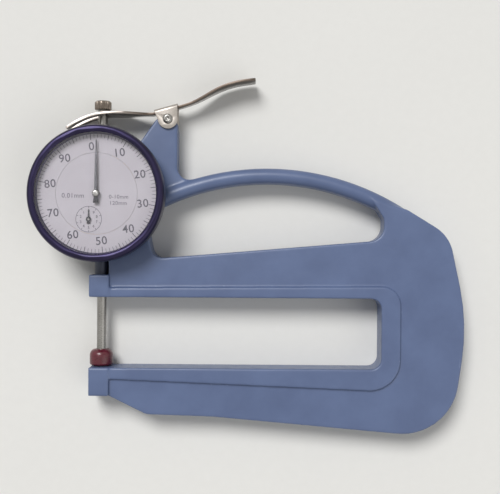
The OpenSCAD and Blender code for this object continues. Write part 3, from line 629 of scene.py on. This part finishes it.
def machined(node: str, name: str, finish: Material, edges: Edges,
             sharp_deg: float = 40.0) -> bpy.types.Object:
    """Makes a node again with broken edges and even shading, and shows it in the node's place.

    Args:
        node: Node that it stands for.
        name: Name of the piece.
        finish: Its material.
        edges: How far its edges are broken.
        sharp_deg: Edges that turn more than this are broken.

    Returns:
        The new object.
    """
    crisp_margin_deg = 12.0
    form = solid_of(node)
    sharp = [e for e in form.edges if e.calc_face_angle(0.0) > math.radians(sharp_deg)]
    bmesh.ops.bevel(form, geom=sharp, offset=edges.value * MM, offset_type="OFFSET", segments=2, profile=0.5,
                    affect="EDGES", clamp_overlap=True)
    shade(form, sharp_deg + crisp_margin_deg)
    piece = add_piece(name, mesh_of(form, name), frame["nodes"][node]["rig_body"], finish)
    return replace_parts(piece, node)


def dress(node: str, finish: Material) -> None:
    """Gives a node that stays as it is its finish.

    Args:
        node: Name of the node.
        finish: Its material.
    """
    mesh = frame["nodes"][node].data
    mesh.materials.clear()
    mesh.materials.append(finish)
    LOG.info("%s keeps its solid", node)


@dataclass
class Casting:
    """Painted C-shaped casting with its soft cast edges and the handle run into it.

    The fillets are the lines, in millimetres, along which the handle meets the body.
    """

    grid_mm: float = 0.35
    skew_x_deg: float = 45.0
    skew_z_deg: float = 55.0
    smoothing: float = 0.5
    passes: int = 16
    fillets: tuple[tuple[Point, Point], ...] = (((114.0, -0.6), (132.0, -6.0)), ((26.0, 4.5), (40.0, 9.5)))
    fillet_mm: float = 6.0
    fillet_passes: int = 25
    fillet_levels: int = 8
    kept: float = 0.14

    def build(self, shop: Shop) -> None:
        """Builds the casting and paints it.

        Args:
            shop: The gauge's finishes.
        """
        rough = scratch_object("rough_casting", self.gridded())
        self.mark_fillets(rough)
        self.soften(rough)
        cast = baked(rough)
        cast.name = "frame_casting"
        cast.shade_smooth()
        piece = add_piece("frame_casting", cast, "frame", shop.paint)
        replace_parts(piece, "frame")

    def gridded(self) -> bpy.types.Mesh:
        """Copies the frame's solid as an even fine grid, laid askew so that no edge runs along it.

        Returns:
            The mesh, in the part's own frame.
        """
        skew = (Matrix.Rotation(math.radians(self.skew_x_deg), 4, "X")
                @ Matrix.Rotation(math.radians(self.skew_z_deg), 4, "Z"))
        form = solid_of("frame")
        bmesh.ops.triangulate(form, faces=form.faces)
        form.transform(skew)
        solid = scratch_object("frame_solid", mesh_of(form, "frame_solid"))
        grid = solid.modifiers.new("grid", "REMESH")
        grid.mode = "VOXEL"
        grid.voxel_size = self.grid_mm * MM
        even = baked(solid)
        even.transform(skew.inverted())
        return even

    def mark_fillets(self, rough: bpy.types.Object) -> None:
        """Marks where the handle runs into the body, most along the joint's own line.

        Args:
            rough: The gridded casting.
        """
        places = np.empty(3 * len(rough.data.vertices))
        rough.data.vertices.foreach_get("co", places)
        flat = places.reshape(-1, 3)[:, :2] / MM
        share = np.zeros(len(flat))
        for first, last in self.fillets:
            start, run = np.array(first), np.array(last) - np.array(first)
            along = np.clip((flat - start) @ run / (run @ run), 0.0, 1.0)
            far = np.linalg.norm(flat - start - along[:, None] * run, axis=1)
            share = np.maximum(share, 1.0 - far / self.fillet_mm)
        group = rough.vertex_groups.new(name="fillet")
        levels = np.ceil(share * self.fillet_levels).astype(int)
        for level in range(1, self.fillet_levels + 1):
            group.add(np.flatnonzero(levels == level).tolist(), level / self.fillet_levels, "REPLACE")

    def soften(self, rough: bpy.types.Object) -> None:
        """Rounds the casting's corners as sand and paint do, fills the handle's joints and thins the grid.

        Args:
            rough: The gridded casting, with its fillets marked.
        """
        for name, passes, group in (("edges", self.passes, ""), ("joints", self.fillet_passes, "fillet")):
            even = rough.modifiers.new(name, "SMOOTH")
            even.factor = self.smoothing
            even.iterations = passes
            even.vertex_group = group
        thin = rough.modifiers.new("thin", "DECIMATE")
        thin.decimate_type = "COLLAPSE"
        thin.ratio = self.kept


@dataclass
class DialPrint:
    """Graduations, numbers and counter scale on the ring and on the fixed middle, in millimetres."""

    divisions: int = 100
    numbers: int = 10
    turned_deg: float = 6.4
    outer_r: float = 24.75
    minor_r: float = 23.1
    five_r: float = 22.6
    ten_r: float = 22.2
    minor_w: float = 0.2
    major_w: float = 0.3
    number_r: float = 19.7
    number_h: float = 3.3
    counter_r: float = 5.35
    counter_arcs: int = 64
    counter_tick: float = 0.8
    counter_w: float = 0.2
    counter_number_r: float = 3.5
    counter_number_h: float = 1.15
    sizes: tuple[tuple[str, Point, float], ...] = (
        ("0.01mm", (-9.8, -0.9), 1.9), ("0-10mm", (9.2, -1.3), 1.6), ("120mm", (9.2, -3.9), 1.6))
    digit_share: float = 0.7
    letter_gap: float = 1.08
    bold: float = 0.012
    ink_t: float = 0.02
    low: float = field(init=False)
    high: float = field(init=False)

    def __post_init__(self) -> None:
        """Finds the heights of the dial's face and of the ink on it."""
        self.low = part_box("dial_ring")[1].z / MM
        self.high = self.low + self.ink_t

    def build(self, shop: Shop) -> None:
        """Prints the ring, the counter and the sizes.

        Args:
            shop: The gauge's finishes.
        """
        self.finish_print(self.ring(), "ring_print", "bezel", shop.print)
        self.finish_print(self.counter(), "counter_print", "frame", shop.print)
        sizes = bmesh.new()
        for text, at, height in self.sizes:
            self.words(sizes, text, at, height, 0.0)
        self.finish_print(sizes, "range_print", "frame", shop.faint_print)

    def ring(self) -> Form:
        """Prints the turning ring's graduations and numbers, clockwise.

        Returns:
            The print.
        """
        form = bmesh.new()
        middle = (0.0, 0.0)
        ten = self.divisions // self.numbers
        five = ten // 2
        for step in range(self.divisions):
            deg = self.turned_deg - 360 / self.divisions * step
            inner = self.ten_r if step % ten == 0 else self.five_r if step % five == 0 else self.minor_r
            width = self.major_w if step % five == 0 else self.minor_w
            self.tick(form, middle, deg, (inner, self.outer_r), width)
        for number in range(self.numbers):
            at = self.around(middle, self.number_r, self.turned_deg - 360 / self.numbers * number)
            self.words(form, str(ten * number), at, self.number_h, self.turned_deg)
        return form

    def counter(self) -> Form:
        """Prints the small scale that counts the pointer's turns, counter-clockwise.

        Returns:
            The print.
        """
        form = bmesh.new()
        low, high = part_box("counter_arbor")
        hub = ((low.x + high.x) / 2 / MM, (low.y + high.y) / 2 / MM)
        self.circle(form, hub, self.counter_r, self.counter_w)
        for number in range(self.numbers):
            deg = 360 / self.numbers * number
            at = self.around(hub, self.counter_number_r, deg)
            self.tick(form, hub, deg, (self.counter_r - self.counter_tick, self.counter_r), self.counter_w)
            self.words(form, str(number), at, self.counter_number_h, 0.0)
        return form

    def around(self, hub: Point, radius: float, deg: float) -> Point:
        """Gives the place on a circle at an angle from upright, counter-clockwise."""
        angle = math.radians(90 + deg)
        return (hub[0] + radius * math.cos(angle), hub[1] + radius * math.sin(angle))

    def tick(self, form: Form, hub: Point, deg: float, reach: Span, width: float) -> None:
        """Prints one graduation.

        Args:
            form: Print that it joins.
            hub: Middle of the scale.
            deg: Angle from upright, counter-clockwise.
            reach: Radii of its inner and outer end.
            width: Width of the line.
        """
        inner, outer = reach
        turn = Matrix.Translation((hub[0], hub[1], 0)) @ Matrix.Rotation(math.radians(deg), 4, "Z")
        corners = [(-width / 2, inner), (width / 2, inner), (width / 2, outer), (-width / 2, outer)]
        self.slab(form, [turn @ Vector((x, y, 0)) for x, y in corners])

    def slab(self, form: Form, outline: list[Vector]) -> None:
        """Raises an outline by the thickness of the ink.

        Args:
            form: Print that it joins.
            outline: Corners, counter-clockwise.
        """
        low = [form.verts.new(Vector((p.x, p.y, self.low)) * MM) for p in outline]
        high = [form.verts.new(Vector((p.x, p.y, self.high)) * MM) for p in outline]
        form.faces.new(list(reversed(low)))
        form.faces.new(high)
        for i in range(len(outline)):
            j = (i + 1) % len(outline)
            form.faces.new([low[i], low[j], high[j], high[i]])

    def circle(self, form: Form, hub: Point, radius: float, width: float) -> None:
        """Prints a ring in short arcs.

        Args:
            form: Print that it joins.
            hub: Middle of the ring.
            radius: Middle radius of the line.
            width: Width of the line.
        """
        inner, outer = radius - width / 2, radius + width / 2
        section = [(inner, self.low), (outer, self.low), (outer, self.high), (inner, self.high)]
        rows = []
        for arc in range(self.counter_arcs):
            a = 2 * math.pi * arc / self.counter_arcs
            rows.append([form.verts.new(Vector((hub[0] + r * math.cos(a), hub[1] + r * math.sin(a), z)) * MM)
                         for r, z in section])
        for here, there in zip(rows, rows[1:] + rows[:1]):
            for i in range(len(section)):
                j = (i + 1) % len(section)
                form.faces.new([here[i], here[j], there[j], there[i]])

    def words(self, form: Form, text: str, at: Point, height: float, deg: float) -> None:
        """Prints a number or a size.

        Args:
            form: Print that it joins.
            text: What is printed.
            at: Middle of the text.
            height: Height of a digit.
            deg: Angle from upright, counter-clockwise.
        """
        curve = bpy.data.curves.new("type", "FONT")
        curve.body = text
        curve.size = height / self.digit_share * MM
        curve.space_character = self.letter_gap
        curve.offset = self.bold * curve.size
        curve.extrude = self.ink_t / 2 * MM
        holder = scratch_object("type", curve)
        bpy.context.view_layer.update()
        mesh = baked(holder)
        points = [v.co for v in mesh.vertices]
        middle = Vector((min(p.x for p in points) + max(p.x for p in points),
                         min(p.y for p in points) + max(p.y for p in points), 0)) / 2
        mesh.transform(Matrix.Translation(Vector((at[0], at[1], self.low + self.ink_t / 2)) * MM)
                       @ Matrix.Rotation(math.radians(deg), 4, "Z") @ Matrix.Translation(-middle))
        form.from_mesh(mesh)
        bpy.data.curves.remove(curve)
        bpy.data.meshes.remove(mesh)

    def finish_print(self, form: Form, name: str, body: str, ink: Material) -> None:
        """Turns a print into a piece on its body."""
        bmesh.ops.recalc_face_normals(form, faces=form.faces)
        add_piece(name, mesh_of(form, name), body, ink)


@dataclass
class DialHead:
    """Case, bezel, window, dial and pointers."""

    dial_print: DialPrint = field(default_factory=DialPrint)
    pointer_sharp_deg: float = 34.0

    def build(self, shop: Shop) -> None:
        """Builds the head and dresses it.

        Args:
            shop: The gauge's finishes.
        """
        machined("bezel", "bezel_ring", shop.anodised, Edges.BROKEN)
        dress("crystal", shop.crystal)
        dress("dial_ring", shop.dial)
        dress("dial_plate", shop.dial)
        self.dial_print.build(shop)
        sharp = self.pointer_sharp_deg
        machined("pointer", "pointer_blade", shop.lacquer, Edges.KEEN, sharp)
        machined("counter_pointer", "counter_hand", shop.lacquer, Edges.KEEN, sharp)
        machined("pointer_hub", "pointer_boss", shop.plain_steel, Edges.BROKEN, sharp)
        dress("dial_case", shop.case)
        dress("case_screws", shop.plain_steel)
        dress("bezel_retaining_ring", shop.plain_steel)


@dataclass
class Movement:
    """Plates, pillars, gears and springs inside the case."""

    brass: tuple[str, ...] = (
        "lower_pillars", "middle_plate", "upper_pillars", "bridge_plate", "floor_bushes", "plate_bush",
        "bridge_bushes", "guide_bracket", "hairspring_stud", "guide_arm", "counter_gear", "take_up_gear",
        "hairspring_collet")
    steel: tuple[str, ...] = (
        "bridge_screws", "guide_rod", "spring_post", "return_spring", "hairspring", "counter_arbor",
        "rack_pinion", "centre_arbor", "take_up_arbor")

    def build(self, shop: Shop) -> None:
        """Dresses the movement's pieces.

        Args:
            shop: The gauge's finishes.
        """
        for node in self.brass:
            dress(node, shop.brass)
        for node in self.steel:
            dress(node, shop.plain_steel)


@dataclass
class SpindleSet:
    """Spindle with its stems, anvil, red contact and lifting cap."""

    turned: tuple[str, ...] = ("spindle", "upper_stem", "anvil", "contact_face")

    def build(self, shop: Shop) -> None:
        """Builds the cap and the contact, and dresses the rest.

        Args:
            shop: The gauge's finishes.
        """
        for node in self.turned:
            dress(node, shop.ground_steel)
        # The lower stem's dark finish is painted shade from the bezel above it.
        dress("lower_stem", shop.blued_steel)
        machined("contact_tip", "contact_moulding", shop.red, Edges.BROKEN)
        machined("lift_cap", "knurled_cap", shop.cap, Edges.KEEN)


@dataclass
class LiftLever:
    """Bent strip, folded saddle and the rivet that they turn on."""

    edges: Edges = Edges.BROKEN

    def build(self, shop: Shop) -> None:
        """Builds the lever's pieces and dresses them.

        Args:
            shop: The gauge's finishes.
        """
        machined("lever_strip", "bent_strip", shop.plated_strip, self.edges)
        machined("lever_saddle", "folded_saddle", shop.plated_saddle, self.edges)
        machined("lever_pin", "rivet", shop.plain_steel, self.edges)


@dataclass(frozen=True)
class Lamp:
    """Large round soft light, far enough off to light the floor evenly."""

    name: str
    at: Place
    wide_deg: float
    power: float

    def hang(self) -> None:
        """Hangs the lamp, turned to the gauge."""
        data = bpy.data.lights.new(self.name, "SUN")
        data.angle = math.radians(self.wide_deg)
        data.energy = self.power
        lamp = bpy.data.objects.new(self.name, data)
        lamp.location = self.at
        lamp.rotation_euler = (-Vector(self.at)).to_track_quat("-Z", "Y").to_euler()
        bpy.context.scene.collection.objects.link(lamp)


@dataclass
class Studio:
    """Camera, soft light and pale floor, in metres."""

    eye: Place = (0.0639, -0.0218, 0.4075)
    roll_deg: float = 0.4
    lens_mm: float = 66.6
    sensor_mm: float = 36.0
    near: float = 0.01
    key: Lamp = Lamp("key", (-0.42, 0.8, 1.3), wide_deg=26.0, power=2.3)
    fill: Lamp = Lamp("fill", (1.0, -0.65, 1.15), wide_deg=50.0, power=0.4)
    room_light: float = 0.3
    floor_half: float = 8.0
    floor_drop: float = 0.0003
    floor_deep: Colour = screen(226, 225, 221)
    floor_pale: Colour = screen(230, 229, 225)

    def build(self) -> None:
        """Sets up the view, the lamps, the room and the floor."""
        bpy.context.scene.view_settings.view_transform = "Standard"
        self.camera()
        self.key.hang()
        self.fill.hang()
        self.room()
        self.floor()

    def camera(self) -> None:
        """Places the camera straight over the gauge."""
        data = bpy.data.cameras.new("view")
        data.sensor_fit = "HORIZONTAL"
        data.sensor_width = self.sensor_mm
        data.lens = self.lens_mm
        data.clip_start = self.near
        camera = bpy.data.objects.new("view", data)
        camera.location = self.eye
        camera.rotation_euler = (0.0, 0.0, math.radians(self.roll_deg))
        bpy.context.scene.collection.objects.link(camera)
        bpy.context.scene.camera = camera

    def room(self) -> None:
        """Fills the room with even light, and shows a pale wall behind the floor and in metal and glass."""
        world = bpy.data.worlds.new("room")
        bpy.context.scene.world = world
        world.use_nodes = True
        nodes, links = world.node_tree.nodes, world.node_tree.links
        light = nodes["Background"]
        light.inputs["Color"].default_value = (1.0, 1.0, 1.0, 1.0)
        light.inputs["Strength"].default_value = self.room_light
        wall = nodes.new("ShaderNodeBackground")
        wall.inputs["Color"].default_value = self.floor_pale
        ray = nodes.new("ShaderNodeLightPath")
        seen = ray.outputs["Is Camera Ray"]
        for kind in ("Is Glossy Ray", "Is Transmission Ray"):
            either = nodes.new("ShaderNodeMath")
            either.operation = "MAXIMUM"
            links.new(seen, either.inputs[0])
            links.new(ray.outputs[kind], either.inputs[1])
            seen = either.outputs["Value"]
        choose = nodes.new("ShaderNodeMixShader")
        links.new(seen, choose.inputs[0])
        links.new(light.outputs["Background"], choose.inputs[1])
        links.new(wall.outputs["Background"], choose.inputs[2])
        links.new(choose.outputs["Shader"], nodes["World Output"].inputs["Surface"])

    def floor(self) -> None:
        """Lays the pale floor under the gauge."""
        half = self.floor_half
        corners = [(-half, -half), (half, -half), (half, half), (-half, half)]
        mesh = bpy.data.meshes.new("floor")
        mesh.from_pydata([(x, y, -self.floor_drop) for x, y in corners], [], [(0, 1, 2, 3)])
        mesh.materials.append(Finish("pale_floor", self.floor_deep, self.floor_pale, (0.7, 0.8), grain_mm=4.0,
                                     patch_mm=200.0, relief=0.05).material())
        floor = bpy.data.objects.new("floor", mesh)
        bpy.context.scene.collection.objects.link(floor)


def main() -> None:
    """Builds the studio and the gauge."""
    logging.basicConfig(level=logging.INFO, format="%(name)s: %(message)s")
    Studio().build()
    shop = Shop()
    for assembly in (Casting(), DialHead(), Movement(), SpindleSet(), LiftLever()):
        assembly.build(shop)


if __name__ == "__main__":
    main()
